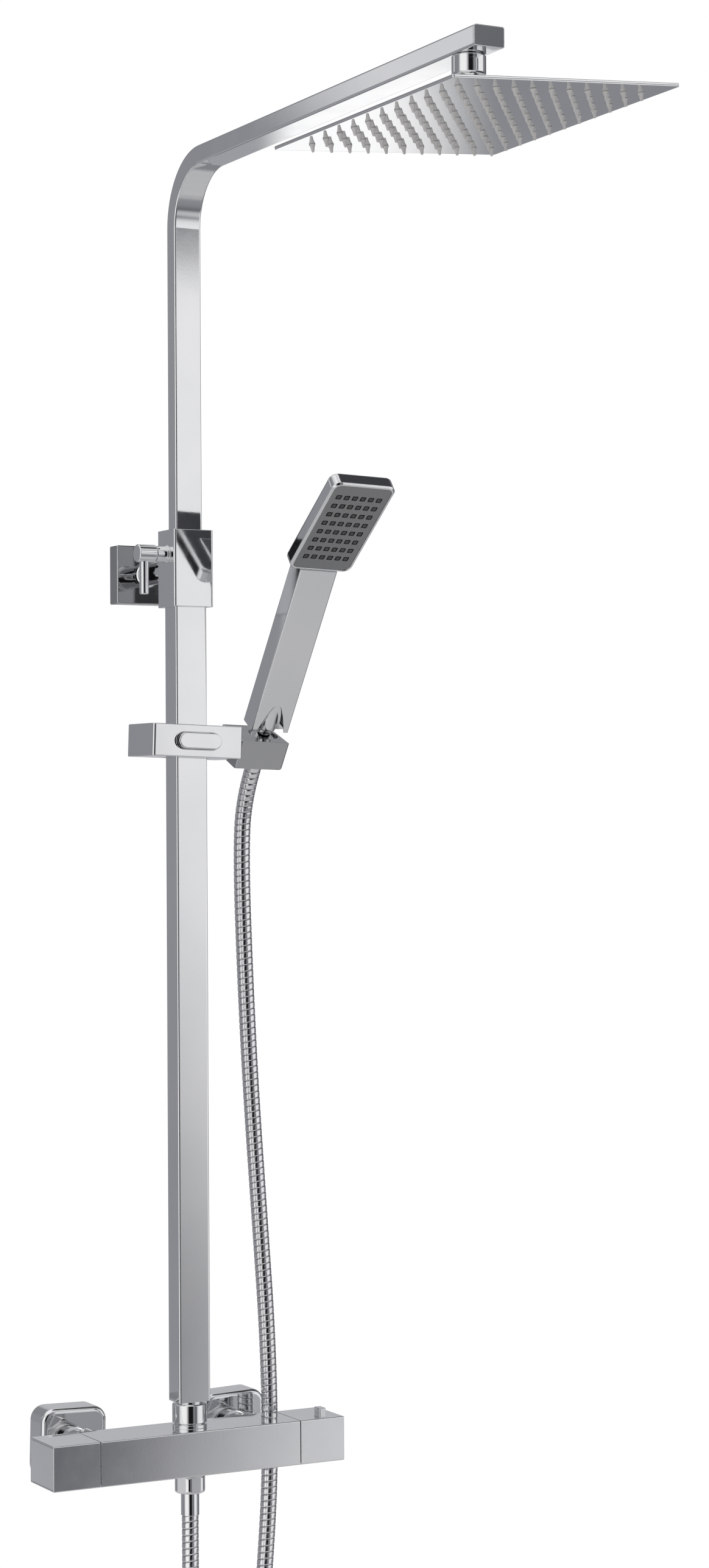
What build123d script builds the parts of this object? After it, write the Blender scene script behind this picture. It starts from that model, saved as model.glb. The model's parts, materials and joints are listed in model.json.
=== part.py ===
from build123d import *
from math import cos, degrees, radians, sin, sqrt, tan
import os

os.makedirs("parts", exist_ok=True)

# Rainfall shower column: a thermostatic bar valve on two wall inlets, a telescopic
# rectangular riser with a wall bracket, a right-angled arm with a thin square rain
# head, and a handset on a sliding holder. All lengths are in millimetres.
# Frame: origin midway between the two inlets on the wall face, +X right along the
# wall, +Y into the wall, +Z up.

# ---------------------------------------------------------------- driving dimensions
INLET_PITCH = 150.0  # standard spacing of bar-valve inlets
G_HALF_R = 20.955 / 2  # G1/2 thread, outside radius
G_34_R = 26.441 / 2  # G3/4 thread, outside radius
COLUMN_Y = -94.0  # bar, riser and sleeve share this plane in front of the wall

BAR_LENGTH = 266.0
BAR_HEIGHT = 37.0
BAR_DEPTH = 49.0
KNOB_LENGTH = 41.2
KNOB_GAP = 0.8
KNOB_WALL = 2.1
END_SEAM = 0.65  # width and depth of the seam round each knob's end plate
CARTRIDGE_R = 14.4
SPINDLE_R = 5.0
RUN_FIT = 0.06  # radial clearance of a turning shaft

ESCUTCHEON_SIZE = (59.0, 60.0, 26.0)  # width, height, depth
ESCUTCHEON_TURN = {-1: 1.5, 1: -2.0}  # degrees each cover sits off square
INLET_NUT_AF = 30.0
TAIL_LENGTH = 15.0  # thread that enters the wall

UNION_NUT_R = 14.5
UNION_NUT_TOP = 38.6
LOWER_TUBE = (28.5, 22.0)  # X by Y
UPPER_TUBE = (24.5, 15.0)
TUBE_WALL = 1.3
LOWER_TUBE_BASE = 40.2
UPPER_TUBE_BASE = 500.0
ARM_TOP_Z = 1078.4
ARM_END_Y = -594.6
BEND_R = 52.5  # centreline radius of the bend into the arm

SLEEVE_SIZE = (36.0, 33.0)
SLEEVE_Z = (701.8, 765.9)
LEVER_Z = 745.8
LEVER_END_X = -44.6
LEVER_PIN_X = -37.9
LEVER_PIN_TIP_Z = 712.1
BRACKET_Z = 734.3
WALL_PLATE = (54.0, 50.0, 15.0)
SCREW_PITCH = 28.0

SWIVEL_Y = -566.2
BALL_Z = 1053.5
BALL_R = 8.2
HEAD_SIZE = 205.0
HEAD_PITCH = 16.6
HEAD_COUNT = 11
HEAD_DROP = 35.0  # ball centre to the head's spray face
HEAD_TILT_X = -2.7  # how the ball joint is left standing
HEAD_TILT_Y = -6.5
HEAD_SPIN = 8.6

CLAMP_Z = 589.5
CLAMP_X = (-43.0, 39.0)
CLAMP_Y = (-121.5, -70.0)
CLAMP_HEIGHT = 27.0
CLAMP_SAG = 2.0  # degrees the clamp droops towards the handset

SOCKET_X = 68.0  # handset axis, in the clamp's own frame
HANDLE_FOOT = -1.5
ARCH_TOP = 24.0
ARCH_DEPTH = 6.0
THROAT_R = 7.2
THROAT_Y = -2.0
HOLLOW_FOOT = 28.0  # the handle is solid below this
HANDLE_BASE = (SOCKET_X, -106.3, 606.7)
HANDLE_TILT = 32.3
HANDLE_SIZE = (34.0, 20.0, 152.0)
FACE_TILT = 19.4  # spray face against the handle
SPRAY_HEAD = (57.0, 13.0, 101.0)
SPRAY_PLATE = (52.0, 96.0)
SPRAY_PITCH = (7.3, 9.9)
SPRAY_COUNT = (6, 8)

HOSE_R = 7.0
HOSE_LENGTH = 1500.0

# ---------------------------------------------------------------- derived places
BAR_TOP = BAR_HEIGHT / 2
BAR_BACK = COLUMN_Y + BAR_DEPTH / 2
BODY_HALF = BAR_LENGTH / 2 - KNOB_LENGTH - KNOB_GAP
ARM_Z = ARM_TOP_Z - UPPER_TUBE[1] / 2
ARM_UNDER = ARM_TOP_Z - UPPER_TUBE[1]
SLEEVE_BACK = COLUMN_Y + SLEEVE_SIZE[1] / 2
SLEEVE_LEFT = -SLEEVE_SIZE[0] / 2


def block(x, y, z):
    """Box from its low and high coordinates along each axis."""
    size = [b - a for a, b in (x, y, z)]
    mid = [(a + b) / 2 for a, b in (x, y, z)]
    return Pos(*mid) * Box(*size)


def along_x(y, z, r, x0, x1):
    return Pos((x0 + x1) / 2, y, z) * Rot(0, 90, 0) * Cylinder(r, abs(x1 - x0))


def along_y(x, z, r, y0, y1):
    return Pos(x, (y0 + y1) / 2, z) * Rot(90, 0, 0) * Cylinder(r, abs(y1 - y0))


def along_z(x, y, r, z0, z1):
    return Pos(x, y, (z0 + z1) / 2) * Cylinder(r, abs(z1 - z0))


def hexagon(across_flats, height):
    """Hexagonal prism on the XY plane, corners on the X axis."""
    return extrude(RegularPolygon(across_flats / sqrt(3), 6), height)


def tube_section(size, wall, corner=1.6):
    outer = RectangleRounded(size[0], size[1], corner)
    inner = RectangleRounded(size[0] - 2 * wall, size[1] - 2 * wall, corner / 2)
    return outer - inner


def save(name, shape):
    solids = shape.solids()
    assert len(solids) == 1, (name, len(solids))
    export_step(solids[0], f"parts/{name}.step")


# ---------------------------------------------------------------- valve body
CARTRIDGE_BORE = {-1: 40.0, 1: 26.0}  # how near the middle each cartridge bore reaches
STUB_R = 11.0
STUB_TIP = -59.7

body = Pos(0, COLUMN_Y, 0) * Box(2 * BODY_HALF, BAR_DEPTH, BAR_HEIGHT)
body = fillet(body.edges().filter_by(Axis.X), 0.9)
for side in (-1, 1):
    x = side * INLET_PITCH / 2
    body += along_y(x, 0, STUB_R, BAR_BACK - 1, STUB_TIP)
    body += along_y(x, 0, G_34_R - 0.3, STUB_TIP - 2.5, STUB_TIP)
body -= along_x(COLUMN_Y, 0, 8, -CARTRIDGE_BORE[-1] - 1, CARTRIDGE_BORE[1] + 1)
for side in (-1, 1):
    x = side * INLET_PITCH / 2
    body -= along_x(COLUMN_Y, 0, CARTRIDGE_R + 0.1, side * CARTRIDGE_BORE[side], side * (BODY_HALF + 1))
    body -= along_y(x, 0, 7, COLUMN_Y, STUB_TIP + 1)
for z_out, z_face in ((12.5, BAR_TOP), (-12.5, -BAR_TOP)):
    body -= along_z(0, COLUMN_Y, 6, 0, z_face)
    body -= along_z(0, COLUMN_Y, 9.95, z_out, z_face * 1.05)
save("valve_body", body)

# ---------------------------------------------------------------- inlets, one per side
NUT_Y = (-68.6, -48.5)
WASHER_T = 2.4
for side, label in ((-1, "left"), (1, "right")):
    x = side * INLET_PITCH / 2
    tail = along_y(x, 0, G_HALF_R, 0, TAIL_LENGTH)
    tail += along_y(x, 0, G_34_R, STUB_TIP + WASHER_T, 0)
    tail -= along_y(x, 0, 7, STUB_TIP, TAIL_LENGTH + 1)
    save(f"inlet_tail_{label}", tail)

    washer = along_y(x, 0, G_34_R - 0.3, STUB_TIP, STUB_TIP + WASHER_T)
    washer -= along_y(x, 0, 6.5, STUB_TIP - 1, STUB_TIP + WASHER_T + 1)
    save(f"inlet_washer_{label}", washer)

    nut = Pos(x, NUT_Y[1], 0) * Rot(90, 0, 0) * Rot(0, 0, 30) * hexagon(INLET_NUT_AF, NUT_Y[1] - NUT_Y[0])
    dome = along_y(x, 0, INLET_NUT_AF / sqrt(3) - 0.6, *NUT_Y)
    nut = nut & chamfer(dome.edges().filter_by(GeomType.CIRCLE), 1.5)
    nut -= along_y(x, 0, G_34_R + 0.08, STUB_TIP - 2.6, NUT_Y[1] + 1)
    nut -= along_y(x, 0, STUB_R + 0.3, NUT_Y[0] - 1, NUT_Y[1])
    save(f"inlet_nut_{label}", nut)

    valve = along_y(x, 0, 6.9, -77.5, -61)
    valve -= along_y(x, 0, 3.5, -78, -64)
    save(f"check_valve_{label}", valve)

    wide, high, deep = ESCUTCHEON_SIZE
    cover = extrude(Plane.XZ * RectangleRounded(wide, high, 12), deep)
    cover = fillet(cover.faces().sort_by(Axis.Y)[0].edges(), 4)
    hollow = extrude(Plane.XZ * RectangleRounded(wide - 2.6, high - 2.6, 10.7), deep - 1.3)
    hollow = fillet(hollow.faces().sort_by(Axis.Y)[0].edges(), 2.9)
    cover -= hollow
    cover -= along_y(0, 0, G_34_R + 0.4, -deep - 1, 0)
    save(f"escutcheon_{label}", Pos(x, 0, 0) * Rot(0, ESCUTCHEON_TURN[side], 0) * cover)

# ---------------------------------------------------------------- cartridges and knobs
NECK_TIP = 98.0
INSERT_FACE = 100.0
SHELL_END = BAR_LENGTH / 2 - KNOB_WALL
BUTTON_AT = (114.4, -109.6)
BUTTON_SIZE = (6.0, 10.0)
BUTTON_TOP = 26.4
BUTTON_FLANGE = (12.6, 16.1)
SPRING_FLOOR = 4.0

for side, cartridge, knob in ((-1, "flow_cartridge", "flow_knob"), (1, "thermostatic_cartridge", "temperature_knob")):
    inner = CARTRIDGE_BORE[side] + 0.5
    core = along_x(COLUMN_Y, 0, CARTRIDGE_R, side * inner, side * 90.5)
    core += along_x(COLUMN_Y, 0, 9, side * 90, side * NECK_TIP)
    core -= along_x(COLUMN_Y, 0, SPINDLE_R + RUN_FIT, side * 68, side * (NECK_TIP + 1))
    core -= along_x(COLUMN_Y, 0, 5.0, side * (inner - 1), side * 65)
    core -= along_y(side * 58, 0, 3.5, COLUMN_Y, COLUMN_Y + 20)
    for groove in (46, 66, 86):
        ring = along_x(COLUMN_Y, 0, CARTRIDGE_R + 1, side * groove, side * (groove + 2))
        ring -= along_x(COLUMN_Y, 0, CARTRIDGE_R - 1.4, side * groove, side * (groove + 2))
        core -= ring
    save(cartridge, core)

    spindle = along_x(COLUMN_Y, 0, SPINDLE_R, side * 69, side * 99.5)
    spindle += along_x(COLUMN_Y, 0, 3.95, side * 99, side * 118)
    save(f"{knob.split('_')[0]}_spindle", spindle)

    outer = Pos(side * (BODY_HALF + KNOB_GAP + KNOB_LENGTH / 2), COLUMN_Y, 0) * Box(KNOB_LENGTH, BAR_DEPTH, BAR_HEIGHT)
    end_face = outer.faces().sort_by(Axis.X)[-1 if side > 0 else 0]
    shell = fillet(end_face.edges() + outer.edges().filter_by(Axis.X), 0.9)
    half_y = BAR_DEPTH / 2 - KNOB_WALL
    half_z = BAR_HEIGHT / 2 - KNOB_WALL
    span = sorted((side * (BODY_HALF - 1), side * SHELL_END))
    shell -= block(span, (COLUMN_Y - half_y, COLUMN_Y + half_y), (-half_z, half_z))
    span = sorted((side * (BAR_LENGTH / 2 - END_SEAM), side * (BAR_LENGTH / 2 + 1)))
    seam_y, seam_z = BAR_DEPTH / 2 - 1.1, BAR_HEIGHT / 2 - 1.1
    seam = block(span, (COLUMN_Y - seam_y, COLUMN_Y + seam_y), (-seam_z, seam_z))
    seam_y, seam_z = seam_y - END_SEAM, seam_z - END_SEAM
    seam -= block(span, (COLUMN_Y - seam_y, COLUMN_Y + seam_y), (-seam_z, seam_z))
    shell -= seam
    span = sorted((side * INSERT_FACE, side * SHELL_END))
    insert = block(span, (COLUMN_Y - half_y + 0.1, COLUMN_Y + half_y - 0.1), (-half_z + 0.1, half_z - 0.1))
    insert -= along_x(COLUMN_Y, 0, 4.0, side * (INSERT_FACE - 1), side * 118.5)
    if side > 0:
        bx, by = BUTTON_AT
        hx, hy = BUTTON_SIZE[0] / 2, BUTTON_SIZE[1] / 2
        shell -= block((bx - hx - 0.3, bx + hx + 0.3), (by - hy - 0.3, by + hy + 0.3), (10, 30))
        insert -= block((bx - hx - 1.3, bx + hx + 1.3), (by - hy - 0.8, by + hy + 0.8), (SPRING_FLOOR, 30))
        button = block((bx - hx, bx + hx), (by - hy, by + hy), (BUTTON_FLANGE[0], BUTTON_TOP))
        button = fillet(button.edges().filter_by(Axis.Z) + button.faces().sort_by(Axis.Z)[-1].edges(), 0.7)
        button += block((bx - hx - 1, bx + hx + 1), (by - hy - 0.5, by + hy + 0.5), BUTTON_FLANGE)
        save("stop_button", button)
        coil = Helix(pitch=1.9, height=BUTTON_FLANGE[0] - SPRING_FLOOR - 1.2, radius=2.2)
        wire = Plane(origin=coil @ 0, z_dir=coil % 0) * Circle(0.35)
        save("stop_spring", Pos(bx, by, SPRING_FLOOR + 0.6) * sweep(wire, path=coil))
    save(knob, shell)
    save(f"{knob.split('_')[0]}_insert", insert)

# ---------------------------------------------------------------- riser joint on the bar
nipple = along_z(0, COLUMN_Y, 9.9, 12.6, BAR_TOP)
nipple += along_z(0, COLUMN_Y, UNION_NUT_R, BAR_TOP, 21.3)
nipple += along_z(0, COLUMN_Y, 12.7, 21.3, 33)
nipple -= along_z(0, COLUMN_Y, 6, 12, 34)
save("riser_nipple", nipple)

nut = along_z(0, COLUMN_Y, UNION_NUT_R, 22.1, UNION_NUT_TOP)
nut = chamfer(nut.edges().filter_by(GeomType.CIRCLE), 0.9)
nut -= along_z(0, COLUMN_Y, 12.78, 22, 37)
nut -= along_z(0, COLUMN_Y, 10.9, 22, 40)
save("riser_union_nut", nut)

foot = along_z(0, COLUMN_Y, 12.6, 33, 36.8)
foot += along_z(0, COLUMN_Y, 10.6, 36.8, LOWER_TUBE_BASE)
plug = extrude(RectangleRounded(LOWER_TUBE[0] - 2 * TUBE_WALL - 0.2, LOWER_TUBE[1] - 2 * TUBE_WALL - 0.2, 0.9), 22)
foot += Pos(0, COLUMN_Y, LOWER_TUBE_BASE) * plug
foot -= along_z(0, COLUMN_Y, 6, 32, 70)
save("riser_foot_plug", foot)

# ---------------------------------------------------------------- telescopic riser
LOWER_TUBE_TOP = 730.0
lower = extrude(tube_section(LOWER_TUBE, TUBE_WALL), LOWER_TUBE_TOP - LOWER_TUBE_BASE)
save("riser_tube_lower", Pos(0, COLUMN_Y, LOWER_TUBE_BASE) * lower)

section = tube_section(UPPER_TUBE, TUBE_WALL)
bend_z = ARM_Z - BEND_R
upright = Pos(0, COLUMN_Y, UPPER_TUBE_BASE) * extrude(section, bend_z - UPPER_TUBE_BASE)
hinge_line = Axis((0, COLUMN_Y - BEND_R, bend_z), (1, 0, 0))
elbow = revolve(Pos(0, COLUMN_Y, bend_z) * section, axis=hinge_line, revolution_arc=90)
arm_plane = Plane(origin=(0, COLUMN_Y - BEND_R, ARM_Z), x_dir=(1, 0, 0), z_dir=(0, -1, 0))
arm = extrude(arm_plane * section, COLUMN_Y - BEND_R - ARM_END_Y - 1.5)
upper = upright + elbow + arm
upper -= along_z(0, SWIVEL_Y, 7.0, ARM_UNDER - 1, ARM_UNDER + 3)
save("riser_tube_upper", upper)

cap = block((-UPPER_TUBE[0] / 2, UPPER_TUBE[0] / 2), (ARM_END_Y, ARM_END_Y + 1.5), (ARM_UNDER, ARM_TOP_Z))
cap = fillet(cap.edges().filter_by(Axis.Y), 1.6)
cap += block((-10.7, 10.7), (ARM_END_Y + 1.5, ARM_END_Y + 9), (ARM_Z - 6, ARM_Z + 6))
save("arm_end_cap", cap)

bush = RectangleRounded(LOWER_TUBE[0] - 2 * TUBE_WALL - 0.3, LOWER_TUBE[1] - 2 * TUBE_WALL - 0.3, 0.8)
bush -= RectangleRounded(UPPER_TUBE[0] + 0.1, UPPER_TUBE[1] + 0.1, 1.6)
save("riser_guide_bush", Pos(0, COLUMN_Y, UPPER_TUBE_BASE) * extrude(bush, 18))

# ---------------------------------------------------------------- clamp sleeve and lever
BOSS_TIP = -28.0
STEM_R = 4.0
sleeve = extrude(RectangleRounded(*SLEEVE_SIZE, 1.9), SLEEVE_Z[1] - SLEEVE_Z[0])
sleeve = Pos(0, COLUMN_Y, SLEEVE_Z[0]) * sleeve
sleeve += along_x(COLUMN_Y, LEVER_Z, 6.8, BOSS_TIP, SLEEVE_LEFT + 1)
sleeve += along_x(COLUMN_Y, LEVER_Z, 7.5, SLEEVE_LEFT - 1.3, SLEEVE_LEFT + 1)
pocket = extrude(RectangleRounded(LOWER_TUBE[0] + 0.2, LOWER_TUBE[1] + 0.2, 1.7), LOWER_TUBE_TOP - SLEEVE_Z[0])
sleeve -= Pos(0, COLUMN_Y, SLEEVE_Z[0]) * pocket
passage = extrude(RectangleRounded(UPPER_TUBE[0] + 0.5, UPPER_TUBE[1] + 0.5, 1.8), 40)
sleeve -= Pos(0, COLUMN_Y, LOWER_TUBE_TOP) * passage
sleeve -= along_x(COLUMN_Y, LEVER_Z, STEM_R + RUN_FIT, BOSS_TIP - 1, -10)
sleeve -= along_y(0, BRACKET_Z, 4.0, SLEEVE_BACK - 5, SLEEVE_BACK + 1)
save("clamp_sleeve", sleeve)

hub = along_x(COLUMN_Y, LEVER_Z, 7.5, LEVER_END_X, BOSS_TIP - 0.4)
hub = chamfer(hub.edges().filter_by(GeomType.CIRCLE), 0.7)
hub += along_x(COLUMN_Y, LEVER_Z, STEM_R, BOSS_TIP - 1, -13.2)
hub -= along_z(LEVER_PIN_X, COLUMN_Y, 2.5, LEVER_Z - 8, LEVER_Z - 2)
save("lever_hub", hub)

handle_pin = along_z(LEVER_PIN_X, COLUMN_Y, 3.9, LEVER_PIN_TIP_Z, LEVER_Z - 5.6)
handle_pin = chamfer(handle_pin.edges().group_by(Axis.Z)[0], 0.5)
handle_pin -= along_x(COLUMN_Y, LEVER_Z, 7.5, LEVER_PIN_X - 5, LEVER_PIN_X + 5)
handle_pin += along_z(LEVER_PIN_X, COLUMN_Y, 2.45, LEVER_Z - 9, LEVER_Z - 3)
save("lever_pin", handle_pin)

# ---------------------------------------------------------------- wall bracket
wide, high, deep = WALL_PLATE
base = block((-22, 22), (-3, 0), (BRACKET_Z - 20, BRACKET_Z + 20))
base += along_y(0, BRACKET_Z, 5.9, -26, -2)
for dz in (-SCREW_PITCH / 2, SCREW_PITCH / 2):
    base -= along_y(0, BRACKET_Z + dz, 2.6, -5, 1)
save("wall_base", base)

cover = block((-wide / 2, wide / 2), (-deep, 0), (BRACKET_Z - high / 2, BRACKET_Z + high / 2))
cover = fillet(cover.edges().filter_by(Axis.Y), 1.2)
cover = chamfer(cover.faces().sort_by(Axis.Y)[0].edges(), 0.8)
cover -= block((-wide / 2 + 1.6, wide / 2 - 1.6), (-deep + 1.6, 1), (BRACKET_Z - high / 2 + 1.6, BRACKET_Z + high / 2 - 1.6))
cover -= along_y(0, BRACKET_Z, 6.6, -deep - 1, 0)
cover -= along_z(0, -6, 2.05, BRACKET_Z - high / 2 - 1, BRACKET_Z - high / 2 + 3)
save("wall_plate", cover)

save("plate_grub_screw", along_z(0, -6, 1.98, BRACKET_Z - high / 2, BRACKET_Z - 20.1))

rosette = along_y(0, BRACKET_Z, 10.75, -deep - 5, -deep)
rosette = chamfer(rosette.edges().group_by(Axis.Y)[0], 1.2)
rosette -= along_y(0, BRACKET_Z, 6.1, -deep - 6, -deep + 1)
save("stem_rosette", rosette)

stem = along_y(0, BRACKET_Z, 9.3, -56, -deep - 5)
flare = along_y(0, BRACKET_Z, 10.75, SLEEVE_BACK, -55)
stem += chamfer(flare.edges().group_by(Axis.Y)[-1], 0.8)
stem += along_y(0, BRACKET_Z, 3.95, SLEEVE_BACK - 4.8, SLEEVE_BACK + 1)
stem -= along_y(0, BRACKET_Z, 6.0, -27, -10)
save("bracket_stem", stem)

# ---------------------------------------------------------------- head swivel
nipple = along_z(0, SWIVEL_Y, G_HALF_R, BALL_Z + 5.6, ARM_UNDER)
nipple += along_z(0, SWIVEL_Y, 6.9, ARM_UNDER, ARM_UNDER + 1.2)
nipple -= along_z(0, SWIVEL_Y, 5, BALL_Z, ARM_UNDER + 3)
nipple -= Pos(0, SWIVEL_Y, BALL_Z) * Sphere(BALL_R + 0.4)
save("arm_nipple", nipple)

nut = along_z(0, SWIVEL_Y, 12.3, BALL_Z - 4.3, ARM_UNDER - 0.2)
nut = chamfer(nut.edges().filter_by(GeomType.CIRCLE), 1.0)
nut -= along_z(0, SWIVEL_Y, G_HALF_R + 0.08, BALL_Z + 2.3, ARM_UNDER + 1)
nut -= Pos(0, SWIVEL_Y, BALL_Z) * Sphere(BALL_R + 0.15)
save("swivel_nut", nut)

seat = along_z(0, SWIVEL_Y, G_HALF_R - 0.25, BALL_Z + 2.6, BALL_Z + 5.3)
seat -= along_z(0, SWIVEL_Y, 5.2, BALL_Z, BALL_Z + 7)
seat -= Pos(0, SWIVEL_Y, BALL_Z) * Sphere(BALL_R + 0.15)
save("swivel_seat", seat)

# The rain head is drawn about the ball centre, spray face down, then tilted as one.
head_place = Pos(0, SWIVEL_Y, BALL_Z) * Rot(HEAD_TILT_X, 0, 0) * Rot(0, HEAD_TILT_Y, 0) * Rot(0, 0, HEAD_SPIN)
FACE_T = 1.0
SKIN_T = 1.4
CHAMBER_T = 0.7
face_top = -HEAD_DROP + FACE_T
skin_top = face_top + SKIN_T
grid = GridLocations(HEAD_PITCH, HEAD_PITCH, HEAD_COUNT, HEAD_COUNT)

ball = Sphere(BALL_R) + along_z(0, 0, 5, skin_top + 2, 0)
ball -= along_z(0, 0, 3.2, skin_top - 1, BALL_R + 1)
save("swivel_ball", head_place * ball)

collar = along_z(0, 0, 15, skin_top, skin_top + 2.5)
collar += Pos(0, 0, skin_top + 5) * Cone(13, 9, 5)
collar -= along_z(0, 0, 5.05, skin_top + 2, skin_top + 9)
collar -= along_z(0, 0, 3.2, skin_top - 1, skin_top + 9)
save("head_collar", head_place * collar)

skin = extrude(Pos(0, 0, face_top) * RectangleRounded(HEAD_SIZE, HEAD_SIZE, 1.5), SKIN_T)
skin -= Pos(0, 0, face_top + CHAMBER_T / 2) * Box(HEAD_SIZE - 20, HEAD_SIZE - 20, CHAMBER_T)
skin -= along_z(0, 0, 3.2, face_top, skin_top + 1)
save("head_top_plate", head_place * skin)

plate = RectangleRounded(HEAD_SIZE, HEAD_SIZE, 1.5) - grid * Circle(1.6)
save("head_face_plate", head_place * Pos(0, 0, -HEAD_DROP) * extrude(plate, FACE_T))

NOZZLE_BASE_R = 2.3
NOZZLE_TIP_R = 1.35
NOZZLE_H = 5.8
mat = Pos(0, 0, face_top + 0.25) * Box(HEAD_PITCH * HEAD_COUNT, HEAD_PITCH * HEAD_COUNT, 0.5)
stud = Pos(0, 0, -HEAD_DROP + FACE_T / 2) * Cylinder(1.55, FACE_T)
stud += Pos(0, 0, -HEAD_DROP - NOZZLE_H / 2) * Cone(NOZZLE_TIP_R, NOZZLE_BASE_R, NOZZLE_H)
drill = Pos(0, 0, -HEAD_DROP - NOZZLE_H / 2) * Cylinder(0.55, NOZZLE_H + 4)
mat = mat + [place * stud for place in grid]
mat = mat - [place * drill for place in grid]
save("head_nozzles", head_place * mat)

# ---------------------------------------------------------------- slider clamp
# Drawn level, then drooped about the riser so that the tube's own passage stays upright.
droop = Pos(0, 0, CLAMP_Z) * Rot(0, CLAMP_SAG, 0) * Pos(0, 0, -CLAMP_Z)
clamp_low, clamp_high = CLAMP_Z - CLAMP_HEIGHT / 2, CLAMP_Z + CLAMP_HEIGHT / 2
LINER = (35.0, 28.0)
SLIDE_FIT = 0.3
THUMB = (38.8, 13.4)  # push button: width and height of its oval
THUMB_FACE_Y = CLAMP_Y[0] - 5.5
THUMB_X = -2.0
PIVOT_YZ = (-95.0, CLAMP_Z)
PIVOT_R = 5.0


def oval(grow, y0, y1):
    """Prism along Y of the push button's oval outline, grown on every side."""
    flat = Plane.XZ.offset(-y1) * (Pos(THUMB_X, CLAMP_Z) * SlotOverall(THUMB[0] + 2 * grow, THUMB[1] + 2 * grow))
    return extrude(flat, y1 - y0)


housing = block(CLAMP_X, CLAMP_Y, (clamp_low, clamp_high))
housing = fillet(housing.edges().filter_by(Axis.Z), 2.4)
housing = fillet(housing.faces().sort_by(Axis.Z)[0].edges() + housing.faces().sort_by(Axis.Z)[-1].edges(), 0.7)
housing -= block((-LINER[0] / 2, LINER[0] / 2), (COLUMN_Y - LINER[1] / 2, COLUMN_Y + LINER[1] / 2), (500, 700))
housing -= oval(0.6, CLAMP_Y[0] - 1, CLAMP_Y[0] + 4.5)
housing -= oval(1.6, CLAMP_Y[0] + 4.4, CLAMP_Y[0] + 10.5)
housing -= along_x(*PIVOT_YZ, PIVOT_R + 0.02, 22, 40)
save("slider_housing", droop * housing)

liner = block((-LINER[0] / 2 + 0.1, LINER[0] / 2 - 0.1), (COLUMN_Y - LINER[1] / 2 + 0.1, COLUMN_Y + LINER[1] / 2 - 0.1),
              (clamp_low + 1, clamp_high - 1))
passage = extrude(RectangleRounded(LOWER_TUBE[0] + 2 * SLIDE_FIT, LOWER_TUBE[1] + 2 * SLIDE_FIT, 1.9), 60)
save("slider_liner", droop * liner - Pos(0, COLUMN_Y, CLAMP_Z - 30) * passage)

thumb = oval(0, THUMB_FACE_Y, CLAMP_Y[0] + 7)
thumb = fillet(thumb.faces().sort_by(Axis.Y)[0].edges(), 0.9)
thumb += oval(1.3, CLAMP_Y[0] + 4.6, CLAMP_Y[0] + 7.4)
save("slider_button", droop * thumb)

save("holder_pivot", droop * along_x(*PIVOT_YZ, PIVOT_R, 22.5, 50))

# ---------------------------------------------------------------- handset holder
hand_place = Pos(*HANDLE_BASE) * Rot(HANDLE_TILT, 0, 0)
CONE_TOP = (-12.0, 10.2)  # height on the handset axis, radius
CONE_END = (-40.0, 7.8)
HOLDER_X = (39.6, 84.0)
HOLDER_OUTLINE = [(-120.5, 591.3), (-106.0, 568.0), (-77.0, 580.5), (-80.0, 606.5)]


def cone_between(low, high, grow):
    """Cone on the handset axis through two (height, radius) stations."""
    slope = (high[1] - low[1]) / (high[0] - low[0])
    bottom, top = low[0] - 12, high[0] + 12
    r_bottom = low[1] + slope * (bottom - low[0]) + grow
    r_top = low[1] + slope * (top - low[0]) + grow
    return Pos(0, 0, (bottom + top) / 2) * Cone(r_bottom, r_top, top - bottom)


outline = Plane.YZ * Polygon(*HOLDER_OUTLINE, align=None)
holder = Pos(HOLDER_X[0], 0, 0) * extrude(outline, HOLDER_X[1] - HOLDER_X[0])
holder = fillet(holder.edges().filter_by(Axis.X).sort_by(Axis.Z)[:1], 3)
holder = fillet(holder.faces().sort_by(Axis.X)[-1].edges(), 2.4)
holder = chamfer(holder.faces().sort_by(Axis.X)[0].edges(), 0.8)
holder -= hand_place * cone_between(CONE_END, CONE_TOP, 0.35)
holder -= hand_place * along_z(0, 0, 12.6, -15.5, 10)
holder -= along_x(*PIVOT_YZ, PIVOT_R + RUN_FIT, 39, 50.5)
save("handset_holder", droop * holder)

# ---------------------------------------------------------------- handset
# Drawn on the handle axis: +Z up the handle, -Y its front face.
wide, thick, tall = HANDLE_SIZE
head_w, head_t, head_h = SPRAY_HEAD
face_place = Pos(0, -25.8, tall + 47.2) * Rot(FACE_TILT, 0, 0)
handle = block((-wide / 2, wide / 2), (-thick / 2, thick / 2), (HANDLE_FOOT, tall))
handle = fillet(handle.edges().filter_by(Axis.Z), 1.4)
# The front face is cut back in an arch round the throat that carries the hose connector.
arch = Pos(0, 0, ARCH_TOP / 2 - 1) * Cone(16.6, 9.5, ARCH_TOP + 6)
slope = Plane.YZ * Polygon((-thick / 2 - 1, HANDLE_FOOT - 1), (-thick / 2 + ARCH_DEPTH, HANDLE_FOOT - 1),
                           (-thick / 2, ARCH_TOP), (-thick / 2 - 1, ARCH_TOP), align=None)
handle -= Pos(-wide / 2, 0, 0) * extrude(slope, wide) & arch
throat = Pos(0, THROAT_Y, HANDLE_FOOT + 13) * Cone(THROAT_R, THROAT_R - 0.5, 26)
handle += throat
spray_body = Pos(0, head_t / 2, 0) * Rot(90, 0, 0) * extrude(RectangleRounded(head_w, head_h, 7.5), head_t / 2, both=True)
spray_body = fillet(spray_body.faces().sort_by(Axis.Y)[-1].edges(), 3)
spray_body = chamfer(spray_body.faces().sort_by(Axis.Y)[0].edges(), 1.4)
spine = Plane.YZ * Polygon((thick / 2, 110), (thick / 2, tall - 8), (-13, tall + 52), (-20, tall + 52), (-8, tall), (-8, 110), align=None)
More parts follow.
